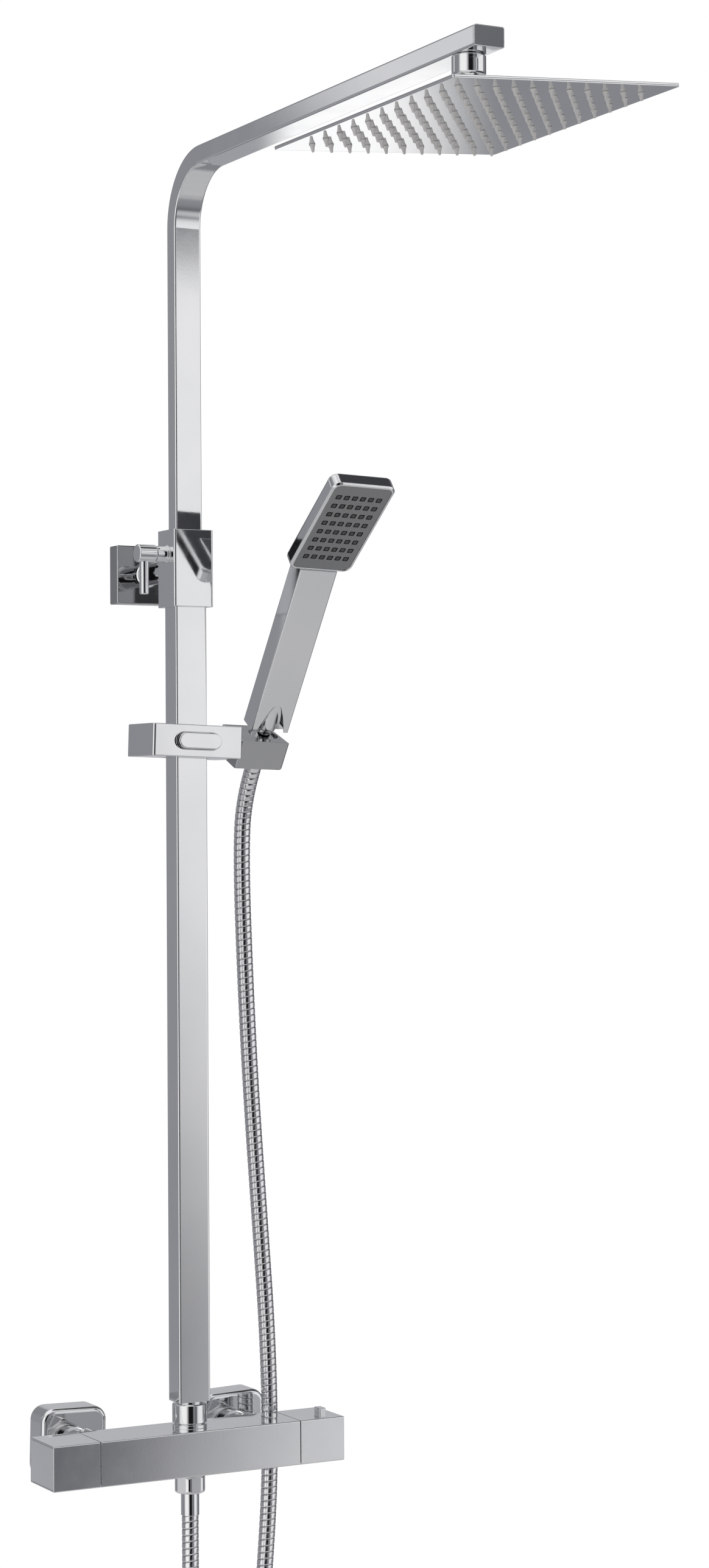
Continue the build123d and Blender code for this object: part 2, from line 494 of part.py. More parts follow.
shell = handle + face_place * spray_body + Pos(-13, 0, 0) * extrude(spine, 26)
plate_w, plate_h = SPRAY_PLATE
recess = Pos(0, 0.8, 0) * Rot(90, 0, 0) * extrude(RectangleRounded(plate_w, plate_h, 5.5), 0.9, both=True)
chamber = Pos(0, 4.2, 0) * Box(plate_w - 4, 5.2, plate_h - 4)
shell -= face_place * recess
shell -= face_place * chamber
shell -= block((-13, 13), (-6, 6), (HOLLOW_FOOT, tall - 6))
shell -= along_z(0, 0, 4, HANDLE_FOOT - 1, HOLLOW_FOOT + 1)
shell -= along_z(0, -4, 3, tall - 8, tall + 12)
save("handset_shell", droop * hand_place * shell)

nozzles = Rot(90, 0, 0) * GridLocations(SPRAY_PITCH[0], SPRAY_PITCH[1], *SPRAY_COUNT)
face = extrude(RectangleRounded(plate_w - 0.2, plate_h - 0.2, 5.4) - GridLocations(*SPRAY_PITCH, *SPRAY_COUNT) * RectangleRounded(4.9, 4.9, 0.9), 1.2)
save("handset_face", droop * hand_place * face_place * Pos(0, 1.6, 0) * Rot(90, 0, 0) * face)

rubber = Box(plate_w - 4.4, plate_h - 4.4, 0.8) + GridLocations(*SPRAY_PITCH, *SPRAY_COUNT) * (Pos(0, 0, 0.9) * Box(3.0, 3.0, 1.4))
save("handset_nozzles", droop * hand_place * face_place * Pos(0, 2.05, 0) * Rot(90, 0, 0) * rubber)

connector = along_z(0, 0, 5.6, CONE_TOP[0], HANDLE_FOOT)
connector += along_z(0, 0, 6.6, -6.4, -3.2)
connector += along_z(0, 0, 6.0, -22, CONE_TOP[0])
connector -= along_z(0, 0, 3.6, -23, 1)
save("handset_connector", droop * hand_place * connector)

cone_nut = Pos(0, 0, (CONE_TOP[0] + CONE_END[0]) / 2) * Cone(CONE_END[1], CONE_TOP[1], CONE_TOP[0] - CONE_END[0])
cone_nut -= along_z(0, 0, 6.05, -22.1, CONE_TOP[0] + 1)
cone_nut -= along_z(0, 0, 3.6, CONE_END[0] + 4, 0)
save("hose_cone_nut", droop * hand_place * cone_nut)

# ---------------------------------------------------------------- hose
FERRULE_END = -54.8
HOSE_NUT_AF = 24.5
outlet = along_z(0, COLUMN_Y, 9.9, -BAR_TOP, -12.6)
outlet += along_z(0, COLUMN_Y, 12.0, -20.3, -BAR_TOP)
outlet += along_z(0, COLUMN_Y, G_HALF_R, -31.0, -20)
outlet -= along_z(0, COLUMN_Y, 5, -32, -12)
save("hose_outlet_nipple", outlet)

hex_nut = Pos(0, COLUMN_Y, -36.1) * hexagon(HOSE_NUT_AF, 15.5)
hex_nut = fillet(hex_nut.edges().filter_by(Axis.Z), 5.0)
dome = along_z(0, COLUMN_Y, HOSE_NUT_AF / sqrt(3) - 0.7, -36.1, -20.6)
hex_nut = hex_nut & fillet(dome.edges().filter_by(GeomType.CIRCLE), 3.6)
hex_nut -= along_z(0, COLUMN_Y, G_HALF_R + 0.08, -33.9, -20)
hex_nut -= along_z(0, COLUMN_Y, 7.7, -37, -20)
save("hose_lower_nut", hex_nut)

ferrule = along_z(0, COLUMN_Y, 10.3, -33.8, -31.1)
ferrule += along_z(0, COLUMN_Y, 7.6, FERRULE_END, -33)
ferrule -= along_z(0, COLUMN_Y, 5, FERRULE_END + 6, -31)
save("hose_lower_ferrule", ferrule)

# The hose runs up behind the bar to the handset and hangs below it in a round loop.
LOOP_DIR = Vector(0.892, 0.451, 0)  # the loop's own plane, from one leg to the other
LOOP_CENTRE = (48.0, -378.0)  # along LOOP_DIR, and height
LOOP_HALF = 69.0  # half the width across the loop's flats


def in_loop(s, z):
    return Vector(0, COLUMN_Y, z) + LOOP_DIR * s


loop_s, loop_z = LOOP_CENTRE
corner = LOOP_HALF * tan(radians(22.5))
hand_axis = droop * hand_place
route = [
    (hand_axis * Pos(0, 0, CONE_END[0])).position,
    (hand_axis * Pos(0, 0, CONE_END[0] - 34)).position,
    Vector(66.0, -62.5, 490),
    Vector(71.5, -57, 400),
    Vector(78.5, -53, 296),
    Vector(88.0, -50, 182),
    Vector(96.0, -49, 76),
    Vector(98.0, -49, -30),
    Vector(90.5, -51.3, -124),
    in_loop(90, -210),
    in_loop(loop_s + LOOP_HALF - 4, -290),
    in_loop(loop_s + LOOP_HALF, loop_z + corner),
    in_loop(loop_s + LOOP_HALF, loop_z - corner),
    in_loop(loop_s + corner, loop_z - LOOP_HALF),
    in_loop(loop_s - corner, loop_z - LOOP_HALF),
    in_loop(loop_s - LOOP_HALF, loop_z - corner),
    in_loop(loop_s - LOOP_HALF, loop_z + corner),
    in_loop(-13, -272),
    in_loop(1.5, -196),
    Vector(0, COLUMN_Y, -122),
    Vector(0, COLUMN_Y, FERRULE_END),
]
runs = [(b - a).length for a, b in zip(route, route[1:])]
turns = [radians((b - a).get_angle(c - b)) for a, b, c in zip(route, route[1:], route[2:])]
radii = [0.45 * min(one, two) / tan(turn / 2) for one, two, turn in zip(runs, runs[1:], turns)]
hose_path = FilletPolyline(*route, radius=radii)
section = Plane(origin=hose_path @ 0, z_dir=hose_path % 0) * Circle(HOSE_R)
hose = sweep(section, path=hose_path)
save("shower_hose", hose)

straight = 3.14159265 * HOSE_R**2 * hose_path.length
print("hose length", round(hose_path.length, 1), "volume ratio", round(hose.volume / straight, 4))
print("runs", [round(v) for v in runs])
print("turns", [round(degrees(v), 1) for v in turns])
print("radii", [round(v) for v in radii])
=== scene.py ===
import json
import math

import bpy
from mathutils import Matrix, Vector


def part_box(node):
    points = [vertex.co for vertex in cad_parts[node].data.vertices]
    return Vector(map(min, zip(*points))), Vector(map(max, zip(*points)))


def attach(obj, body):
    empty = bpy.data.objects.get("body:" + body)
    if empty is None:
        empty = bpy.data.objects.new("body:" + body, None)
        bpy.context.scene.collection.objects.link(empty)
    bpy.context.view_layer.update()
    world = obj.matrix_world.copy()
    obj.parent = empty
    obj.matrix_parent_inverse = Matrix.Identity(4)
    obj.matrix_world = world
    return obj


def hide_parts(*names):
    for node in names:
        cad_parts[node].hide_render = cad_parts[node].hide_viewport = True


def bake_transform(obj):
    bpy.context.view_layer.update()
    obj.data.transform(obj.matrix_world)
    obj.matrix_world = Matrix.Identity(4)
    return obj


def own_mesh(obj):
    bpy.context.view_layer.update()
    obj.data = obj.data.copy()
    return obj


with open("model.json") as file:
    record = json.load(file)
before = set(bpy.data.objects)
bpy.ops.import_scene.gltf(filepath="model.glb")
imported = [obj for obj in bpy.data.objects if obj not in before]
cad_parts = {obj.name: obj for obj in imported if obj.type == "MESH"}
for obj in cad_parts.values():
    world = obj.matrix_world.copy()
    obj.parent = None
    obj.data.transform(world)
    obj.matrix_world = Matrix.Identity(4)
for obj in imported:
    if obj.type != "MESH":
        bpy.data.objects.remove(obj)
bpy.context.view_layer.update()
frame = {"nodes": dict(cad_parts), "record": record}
scene = bpy.context.scene
scene.view_settings.view_transform = "Standard"

UP = Vector((0, 0, 1))
COLUMN_Y = -0.094


# ---------------------------------------------------------------- camera
def add_camera(place, heading, pitch, roll, lens):
    """A level camera turned from +Y towards +X by heading, then pitched up and rolled, in degrees."""
    turn, lift, lean = (math.radians(a) for a in (heading, pitch, roll))
    flat = Vector((math.sin(turn), math.cos(turn), 0))
    side = Vector((math.cos(turn), -math.sin(turn), 0))
    ahead = flat * math.cos(lift) + UP * math.sin(lift)
    over = side.cross(ahead)
    right = side * math.cos(lean) + over * math.sin(lean)
    over = right.cross(ahead)
    data = bpy.data.cameras.new("camera")
    data.lens = lens
    data.sensor_width = 36
    data.clip_start = 0.05
    camera = bpy.data.objects.new("camera", data)
    scene.collection.objects.link(camera)
    camera.matrix_world = Matrix.Translation(place) @ Matrix((right, over, -ahead)).transposed().to_4x4()
    scene.camera = camera


add_camera(Vector((-1.1321, -2.4925, 0.5267)), heading=28.3, pitch=0.58, roll=-0.32, lens=72.76)


# ---------------------------------------------------------------- material helpers
class Shader:
    """A Principled material under construction, with short ways to add detail to it."""

    def __init__(self, name, **values):
        self.material = bpy.data.materials.new(name)
        self.material.use_nodes = True
        self.tree = self.material.node_tree
        self.bsdf = self.tree.nodes["Principled BSDF"]
        for key, value in values.items():
            self.bsdf.inputs[key.replace("_", " ")].default_value = value

    def node(self, kind, **values):
        """A new node. Each value is a setting of the node or, failing that, one of its inputs."""
        made = self.tree.nodes.new(kind)
        for key, value in values.items():
            if hasattr(made, key):
                setattr(made, key, value)
            else:
                made.inputs[key.replace("_", " ")].default_value = value
        return made

    def link(self, a, b):
        self.tree.links.new(a, b)

    def feed(self, source, name):
        self.link(source, self.bsdf.inputs[name])

    def place(self, stretch):
        """The object's own coordinates, stretched so that a pattern may run along one axis."""
        coordinates = self.node("ShaderNodeTexCoord")
        mapping = self.node("ShaderNodeMapping")
        mapping.inputs["Scale"].default_value = stretch
        self.link(coordinates.outputs["Object"], mapping.inputs["Vector"])
        return mapping.outputs["Vector"]

    def noise(self, scale, detail=3.0, stretch=(1, 1, 1)):
        made = self.node("ShaderNodeTexNoise", Scale=scale, Detail=detail)
        self.link(self.place(stretch), made.inputs["Vector"])
        return made.outputs["Fac"]

    def spread(self, source, low, high, start=0.3, stop=0.7):
        """source, taken from start..stop to low..high."""
        made = self.node("ShaderNodeMapRange")
        for key, value in zip(("From Min", "From Max", "To Min", "To Max"), (start, stop, low, high)):
            made.inputs[key].default_value = value
        self.link(source, made.inputs["Value"])
        return made.outputs["Result"]

    def blend(self, source, first, second):
        """Colour from first to second as source goes from 0 to 1."""
        made = self.node("ShaderNodeMix", data_type="RGBA")
        for socket in made.inputs:
            if socket.type == "RGBA" and socket.name == "A":
                socket.default_value = (*first, 1)
            if socket.type == "RGBA" and socket.name == "B":
                socket.default_value = (*second, 1)
        self.link(source, made.inputs["Factor"])
        return [socket for socket in made.outputs if socket.type == "RGBA"][0]

    def bump(self, source, strength, distance, edge=0.0):
        """Relief from source, on top of edges that are rounded by edge."""
        made = self.node("ShaderNodeBump", Strength=strength, Distance=distance)
        self.link(source, made.inputs["Height"])
        if edge:
            rounded = self.node("ShaderNodeBevel", samples=6, Radius=edge)
            self.link(rounded.outputs["Normal"], made.inputs["Normal"])
        self.link(made.outputs["Normal"], self.bsdf.inputs["Normal"])


def grey(value, warm=0.0):
    return (value * (1 + warm), value, value * (1 - warm))


def polished(name, tone=0.86, dull=0.80, rough=(0.03, 0.09), ripple=0.004, edge=0.0008):
    """Chrome plate: tone and gloss that vary faintly, a slight orange peel, and softened edges."""
    made = Shader(name, Metallic=1.0)
    film = made.noise(9.0, 4.0)
    made.feed(made.blend(made.spread(film, 0, 1), grey(tone), grey(dull, -0.012)), "Base Color")
    made.feed(made.spread(made.noise(34.0, 5.0), *rough), "Roughness")
    made.bump(made.noise(420.0, 2.0), ripple, 0.0006, edge)
    return made.material


def brushed(name, tone, stretch, rough=(0.26, 0.42)):
    """Brushed steel: fine hairlines along one axis."""
    made = Shader(name, Metallic=1.0)
    hair = made.noise(60.0, 6.0, stretch)
    made.feed(made.blend(made.spread(hair, 0, 1), grey(tone), grey(tone * 0.8)), "Base Color")
    made.feed(made.spread(hair, *rough), "Roughness")
    made.bump(hair, 0.12, 0.0003)
    return made.material


def cast_brass(name):
    """Bare brass: blotches of tone and a grainy skin."""
    made = Shader(name, Metallic=1.0)
    skin = made.noise(55.0, 6.0)
    made.feed(made.blend(made.spread(skin, 0, 1), (0.62, 0.45, 0.20), (0.44, 0.30, 0.13)), "Base Color")
    made.feed(made.spread(made.noise(150.0, 4.0), 0.24, 0.46), "Roughness")
    made.bump(skin, 0.25, 0.0006)
    return made.material


def soft(name, first, second, rough, grain=900.0, depth=0.15, sheen=0.0):
    """Rubber, silicone or moulded plastic: mottled tone, fine moulded grain."""
    made = Shader(name, Specular_IOR_Level=0.4, Sheen_Weight=sheen)
    made.feed(made.blend(made.spread(made.noise(40.0, 4.0), 0, 1), first, second), "Base Color")
    made.feed(made.spread(made.noise(120.0, 3.0), *rough), "Roughness")
    made.bump(made.noise(grain, 2.0), depth, 0.0002)
    return made.material


PALE_SILICONE = ((0.80, 0.78, 0.76), (0.70, 0.68, 0.66))
materials = {
    "chrome": polished("chrome_plate"),
    "valve_chrome": polished("valve_chrome_plate", 0.84, 0.78, edge=0.0004),
    "knob_chrome": polished("knob_chrome_plate", 0.86, 0.80, (0.05, 0.11), edge=0.0004),
    "tube_chrome": polished("tube_chrome_plate", 0.86, 0.80, (0.035, 0.08), 0.003),
    "head_chrome": polished("head_mirror_plate", 0.86, 0.81, (0.015, 0.045), 0.003),
    "hand_chrome": polished("hand_chrome_plate", 0.84, 0.79, (0.06, 0.13), 0.006),
    # Painted shade: the wall plate, the holder and the handset face are chrome toned darker, standing in for
    # the darker surroundings they mirror; the holder and face are also really satin.
    "plate_chrome": polished("plate_chrome_painted_shade", 0.48, 0.45),
    "holder_chrome": polished("holder_satin_chrome_painted_shade", 0.50, 0.46, (0.10, 0.18), 0.006),
    "face_satin": polished("face_satin_painted_shade", 0.30, 0.27, (0.22, 0.32), 0.01),
    "button_chrome": polished("button_chrome_plate", 0.85, 0.80, (0.07, 0.14), 0.015),
    "bare_brass": cast_brass("bare_brass_cast"),
    "stainless": brushed("stainless_brushed", 0.60, (1, 1, 14)),
    "black_rubber": soft("black_rubber_moulded", grey(0.028), grey(0.05), (0.55, 0.75)),
    "nozzle_silicone": soft("silicone_light", *PALE_SILICONE, (0.32, 0.5), 700, 0.1, 0.15),
    "hand_nozzles": soft("silicone_dark", grey(0.055), grey(0.085), (0.35, 0.55), 700, 0.1),
    "white_plastic": soft("acetal_white", grey(0.82, 0.01), grey(0.74, 0.01), (0.35, 0.5)),
    "dark_plastic": soft("plastic_dark", grey(0.06), grey(0.09), (0.4, 0.6)),
}
slot_of = {part["node"]: part["material_slot"] for part in frame["record"]["subparts"]}

for name, thing in frame["nodes"].items():
    if slot_of[name] in materials:
        if not thing.material_slots:
            thing.data.materials.append(None)
        for used in thing.material_slots:
            used.material = materials[slot_of[name]]


# ---------------------------------------------------------------- mesh helpers
def piece(name, points, faces, body, material):
    """A smooth-shaded mesh object, riding on body if there is one."""
    mesh = bpy.data.meshes.new(name)
    mesh.from_pydata([tuple(p) for p in points], [], faces)
    mesh.update()
    mesh.shade_smooth()
    made = bpy.data.objects.new(name, mesh)
    scene.collection.objects.link(made)
    mesh.materials.append(material)
    if body:
        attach(made, body)
    return made


def turned(name, profile, origin, axis, body, around, material):
    """A turned piece: profile is (distance along the axis, radius) from one end to the other."""
    axis = Vector(axis).normalized()
    side = axis.orthogonal().normalized()
    other = axis.cross(side)
    points, faces = [], []
    for along, radius in profile:
        for k in range(around):
            angle = 2 * math.pi * k / around
            out = side * math.cos(angle) + other * math.sin(angle)
            points.append(Vector(origin) + axis * along + out * max(radius, 1e-5))
    rows = len(profile)
    for row in range(rows - 1):
        for k in range(around):
            nxt = (k + 1) % around
            a, b = row * around + k, row * around + nxt
            faces.append((a, b, b + around, a + around))
    if profile[0][1] > 1e-4:
        faces.append(tuple(reversed(range(around))))
    if profile[-1][1] > 1e-4:
        faces.append(tuple((rows - 1) * around + k for k in range(around)))
    made = piece(name, points, faces, body, material)
    made.data.set_sharp_from_angle(angle=math.radians(35))
    return made


# ---------------------------------------------------------------- hose
HOSE_R = 0.007
SPIRAL_PITCH = 0.0055
ROWS_PER_TURN = 9
HOSE_AROUND = 24
SEAM_DEPTH = 0.00075
SEAM_HALF_WIDTH = 0.27
SAG = math.radians(2.0)
CLAMP_Z = 0.5895
HANDLE_TILT = math.radians(32.3)
HANDLE_BASE = Vector((0.068, -0.1063, 0.6067))
HANDLE_UP = Vector((0, -math.sin(HANDLE_TILT), math.cos(HANDLE_TILT)))
LOOP_DIR = Vector((0.892, 0.451, 0))
LOOP_S, LOOP_Z, LOOP_HALF = 0.048, -0.378, 0.069
SWING_REACH = 0.42
LIFT_REACH = 0.13


def drooped(point):
    """A point of the sliding clamp's level frame, after the clamp droops towards the handset."""
    return (
        Matrix.Translation((0, 0, CLAMP_Z))
        @ Matrix.Rotation(SAG, 4, "Y")
        @ Matrix.Translation((0, 0, -CLAMP_Z))
        @ Vector(point)
    )


def on_handle(height):
    """A point on the handset's handle, height above the middle of its foot along the handle."""
    return drooped(HANDLE_BASE + HANDLE_UP * height)


def in_loop(s, z):
    """A point in the upright plane of the hose's loop, s to the side of the column."""
    return Vector((0, COLUMN_Y, z)) + LOOP_DIR * s


loop_corner = LOOP_HALF * math.tan(math.radians(22.5))
hose_route = [
    Vector((0, COLUMN_Y, -0.0548)),
    Vector((0, COLUMN_Y, -0.122)),
    in_loop(0.0015, -0.196),
    in_loop(-0.013, -0.272),
    in_loop(LOOP_S - LOOP_HALF, LOOP_Z + loop_corner),
    in_loop(LOOP_S - LOOP_HALF, LOOP_Z - loop_corner),
    in_loop(LOOP_S - loop_corner, LOOP_Z - LOOP_HALF),
    in_loop(LOOP_S + loop_corner, LOOP_Z - LOOP_HALF),
    in_loop(LOOP_S + LOOP_HALF, LOOP_Z - loop_corner),
    in_loop(LOOP_S + LOOP_HALF, LOOP_Z + loop_corner),
    in_loop(LOOP_S + LOOP_HALF - 0.004, -0.290),
    in_loop(0.090, -0.210),
    Vector((0.0905, -0.0513, -0.124)),
    Vector((0.098, -0.049, -0.030)),
    Vector((0.096, -0.049, 0.076)),
    Vector((0.088, -0.050, 0.182)),
    Vector((0.0785, -0.053, 0.296)),
    Vector((0.0715, -0.057, 0.400)),
    Vector((0.066, -0.0625, 0.490)),
    on_handle(-0.074),
    on_handle(-0.040),
]


def smooth_line(route, name):
    """Points along the NURBS line that has the route's points as its controls."""
    curve = bpy.data.curves.new(name, "CURVE")
    curve.dimensions = "3D"
    curve.resolution_u = 24
    spline = curve.splines.new("NURBS")
    spline.points.add(len(route) - 1)
    for control, point in zip(spline.points, route):
        control.co = (*point, 1)
    spline.order_u = 3
    spline.use_endpoint_u = True
    bare = bpy.data.objects.new(name, curve)
    mesh = bpy.data.meshes.new_from_object(bare)
    line = [v.co.copy() for v in mesh.vertices]
    bpy.data.objects.remove(bare)
    bpy.data.meshes.remove(mesh)
    return line


def evenly(line, step):
    """The line again as points about a step apart, and its length."""
    lengths = [0.0]
    for a, b in zip(line, line[1:]):
        lengths.append(lengths[-1] + (b - a).length)
    count = max(2, round(lengths[-1] / step))
    found, k = [], 0
    for n in range(count + 1):
        want = lengths[-1] * n / count
        while k < len(lengths) - 2 and lengths[k + 1] < want:
            k += 1
        share = (want - lengths[k]) / max(lengths[k + 1] - lengths[k], 1e-9)
        found.append(line[k].lerp(line[k + 1], share))
    return found, lengths[-1]


def directions_across(line):
    """Two directions across the line at each point, turned as little as possible from one to the next."""
    found = []
    across = (line[1] - line[0]).orthogonal().normalized()
    for k in range(len(line)):
        ahead = (line[min(k + 1, len(line) - 1)] - line[max(k - 1, 0)]).normalized()
        across = (across - ahead * across.dot(ahead)).normalized()
        found.append((across, ahead.cross(across)))
    return found


def spiral_radius(phase):
    """Interlocked strip: a wide crown that dips into a narrow seam once a turn."""
    from_seam = abs(phase - round(phase)) / 0.5
    return HOSE_R - SEAM_DEPTH * max(0.0, 1 - from_seam / SEAM_HALF_WIDTH) ** 1.5


hose_line, hose_length = evenly(smooth_line(hose_route, "hose_route"), SPIRAL_PITCH / ROWS_PER_TURN)
hose_directions = directions_across(hose_line)
hose_step = hose_length / (len(hose_line) - 1)


def hose_material():
    """Steel strip with painted shade in the seam: its colour goes dark by the seam depth that each point of
    the mesh carries.
    """
    made = Shader("hose_steel_spiral", Metallic=1.0)
    tone = made.node("ShaderNodeAttribute", attribute_name="seam")
    # Painted shade: the colour runs from steel to near black as the point sits deeper in the seam.
    made.feed(made.blend(tone.outputs["Fac"], (0.86, 0.86, 0.87), (0.06, 0.06, 0.065)), "Base Color")
    made.feed(made.spread(made.noise(260.0, 3.0), 0.10, 0.24), "Roughness")
    made.bump(made.noise(900.0, 2.0), 0.05, 0.0002)
    return made.material


hose_steel_and_seam_shade = hose_material()


def hose_part(name, first, last):
    """One stretch of the hose, from one row of its line to another."""
    points, faces, seam = [], [], []
    # The stretch is first made standing straight up, one row per step of length, then each point is moved
    # onto the hose's line.
    for k in range(first, last + 1):
        for j in range(HOSE_AROUND):
            points.append(Vector((0, 0, k * hose_step)))
    rows = last - first + 1
    for row in range(rows - 1):
        for j in range(HOSE_AROUND):
            nxt = (j + 1) % HOSE_AROUND
            a, b = row * HOSE_AROUND + j, row * HOSE_AROUND + nxt
            faces.append((a, b, b + HOSE_AROUND, a + HOSE_AROUND))
    made = piece(name, points, faces, None, hose_steel_and_seam_shade)
    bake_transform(made)
    for row in range(rows):
        k = first + row
        across, over = hose_directions[k]
        for j in range(HOSE_AROUND):
            angle = 2 * math.pi * j / HOSE_AROUND
            radius = spiral_radius(k * hose_step / SPIRAL_PITCH - j / HOSE_AROUND)
            out = across * math.cos(angle) + over * math.sin(angle)
            made.data.vertices[row * HOSE_AROUND + j].co = hose_line[k] + out * radius
            # How deep the point sits in the seam, kept as the amount of painted shade.
            seam.append((HOSE_R - radius) / SEAM_DEPTH)
    shade = made.data.attributes.new("seam", "FLOAT", "POINT")
    shade.data.foreach_set("value", seam)
    made.data.update()
    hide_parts("shower_hose")
    return made


hose_end = len(hose_line) - 1
swing_row = hose_end - round(SWING_REACH / hose_step)
lift_row = hose_end - round(LIFT_REACH / hose_step)
for name, first, last, below, above, ends in (
    ("hose_lower", 0, swing_row, "valve_set", "slider", ("hose_lower_nut", "hose_lower_ferrule")),
    ("hose_middle", swing_row, lift_row, "slider", "holder", ()),
    ("hose_upper", lift_row, hose_end, "holder", "handset", ("hose_cone_nut",)),
):
    hose_part(name, first, last)

# ---------------------------------------------------------------- rain head nozzles
HEAD_BALL = (0, -0.5662, 1.0535)
HEAD_LEAN = (("X", -2.7), ("Y", -6.5), ("Z", 8.6))
HEAD_FACE = -0.035
HEAD_PITCH = 0.0166
HEAD_ROWS = 11
NOZZLE_AROUND = 20
# (distance below the spray face, radius), from the flange down the tip and into its mouth
NOZZLE = (
    (0.0006, 0.0010),
    (0.0, 0.00225),
    (0.0005, 0.0023),
    (0.0010, 0.0021),
    (0.0018, 0.0017),
    (0.0029, 0.0014),
    (0.0042, 0.00118),
    (0.0053, 0.00102),
    (0.0058, 0.0008),
    (0.0057, 0.0004),
    (0.0045, 0.0003),
)
head_place = Matrix.Translation(HEAD_BALL)
for axis, degrees in HEAD_LEAN:
    head_place = head_place @ Matrix.Rotation(math.radians(degrees), 4, axis)


def nozzle_field(name, spots, body, slot):
    """The same small turned nozzle at every spot, pointing down from the spray face."""
    points, faces = [], []
    for x, y in spots:
        first = len(points)
        for drop, radius in NOZZLE:
            for k in range(NOZZLE_AROUND):
                angle = 2 * math.pi * k / NOZZLE_AROUND
                out_x, out_y = radius * math.cos(angle), radius * math.sin(angle)
                points.append(head_place @ Vector((x + out_x, y + out_y, HEAD_FACE - drop)))
        for row in range(len(NOZZLE) - 1):
            start = first + row * NOZZLE_AROUND
            for k in range(NOZZLE_AROUND):
                a, b = start + k, start + (k + 1) % NOZZLE_AROUND
                faces.append((a, a + NOZZLE_AROUND, b + NOZZLE_AROUND, b))
        last = first + (len(NOZZLE) - 1) * NOZZLE_AROUND
        faces.append(tuple(last + k for k in range(NOZZLE_AROUND)))
    return piece(name, points, faces, body, materials[slot])


steps = [(k - HEAD_ROWS // 2) * HEAD_PITCH for k in range(HEAD_ROWS)]
nozzles = nozzle_field("rain_nozzles", [(x, y) for x in steps for y in steps], "rain_head", "nozzle_silicone")
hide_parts("head_nozzles")

# ---------------------------------------------------------------- threaded inlet tails
INLET_X = 0.075
THREAD_PITCH = 0.001814
THREAD_DEPTH = 0.0011
WALL_THREAD_R = 0.0104775
NUT_THREAD_R = 0.01322
NECK_R = 0.0126
BORE_R = 0.007
WALL_DEPTH = 0.015
TAIL_FRONT = -0.0572
LEAD_IN = 0.0006


def thread(start, stop, radius):
    """Profile of a pipe thread as close rounded grooves, with a lead-in at its far end."""
    found, y = [], start
    root = radius - THREAD_DEPTH
    while y + THREAD_PITCH < stop:
        found += [(y, radius), (y + 0.3 * THREAD_PITCH, radius), (y + 0.5 * THREAD_PITCH, root)]
        found += [(y + 0.68 * THREAD_PITCH, root), (y + 0.95 * THREAD_PITCH, radius - 0.0001)]
        y += THREAD_PITCH
    return found + [(y, radius), (stop - LEAD_IN, radius), (stop, radius - LEAD_IN)]


def inlet_tail(label, x):
    """A tail threaded at both ends: chrome in front of the wall, bare brass in it."""
    profile = [(TAIL_FRONT, BORE_R), (TAIL_FRONT, 0.0129), (-0.0568, NUT_THREAD_R)]
    profile += thread(-0.0566, -0.040, NUT_THREAD_R) + [(-0.0398, NECK_R), (-0.001, NECK_R)]
    profile += [(-0.0009, NUT_THREAD_R), (0.0, NUT_THREAD_R), (0.0, 0.0097)]
    profile += thread(0.0008, WALL_DEPTH, WALL_THREAD_R)
    profile += [(WALL_DEPTH, 0.0071), (0.0146, BORE_R), (-0.0568, BORE_R)]
    brass = materials["bare_brass"]
    tail = turned(f"tail_thread_{label}", profile, (x, 0, 0), (0, 1, 0), "valve_set", 72, brass)
    tail.data.materials.clear()
    tail.data.materials.append(materials["chrome"])
    tail.data.materials.append(brass)
    for face in tail.data.polygons:
        face.material_index = int(face.center.y > 0.0002)
    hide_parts(f"inlet_tail_{label}")


inlet_tail("left", -INLET_X)
inlet_tail("right", INLET_X)

# ---------------------------------------------------------------- button spring
SPRING_PITCH = 0.0019
SPRING_PER_TURN = 28
WIRE_R = 0.00035
WIRE_AROUND = 10


def button_spring():
    """The coil under the press button. It rides with the button as one piece. Its foot stays put while the
    button presses its top down.
    """
    low, high = (Vector(corner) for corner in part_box("stop_spring"))
    mid = (low + high) / 2
    coil_r = (high.x - low.x) / 2 - WIRE_R
    rise = high.z - low.z - 2 * WIRE_R
    rows = round(rise / SPRING_PITCH * SPRING_PER_TURN) + 1
    points, faces = [], []
    for row in range(rows):
        angle = 2 * math.pi * row / SPRING_PER_TURN
        out = Vector((math.cos(angle), math.sin(angle), 0))
        centre = Vector((mid.x, mid.y, low.z + WIRE_R + rise * row / (rows - 1))) + out * coil_r
        for k in range(WIRE_AROUND):
            turn = 2 * math.pi * k / WIRE_AROUND
            points.append(centre + (out * math.cos(turn) + UP * math.sin(turn)) * WIRE_R)
    for row in range(rows - 1):
        for k in range(WIRE_AROUND):
            a, b = row * WIRE_AROUND + k, row * WIRE_AROUND + (k + 1) % WIRE_AROUND
            faces.append((a, b, b + WIRE_AROUND, a + WIRE_AROUND))
    faces.append(tuple(reversed(range(WIRE_AROUND))))
    faces.append(tuple((rows - 1) * WIRE_AROUND + k for k in range(WIRE_AROUND)))
    made = piece("button_coil", points, faces, "stop_button", materials["stainless"])
    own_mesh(made)
    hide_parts("stop_spring")


button_spring()

# ---------------------------------------------------------------- studio
sky = bpy.data.worlds.new("studio")
scene.world = sky
sky.use_nodes = True
sky_nodes, sky_links = sky.node_tree.nodes, sky.node_tree.links
sky_nodes.clear()
direction = sky_nodes.new("ShaderNodeTexCoord").outputs["Generated"]

ROOM_TONE = (0.257, 0.261, 0.28, 1)
COOLNESS = 0.12
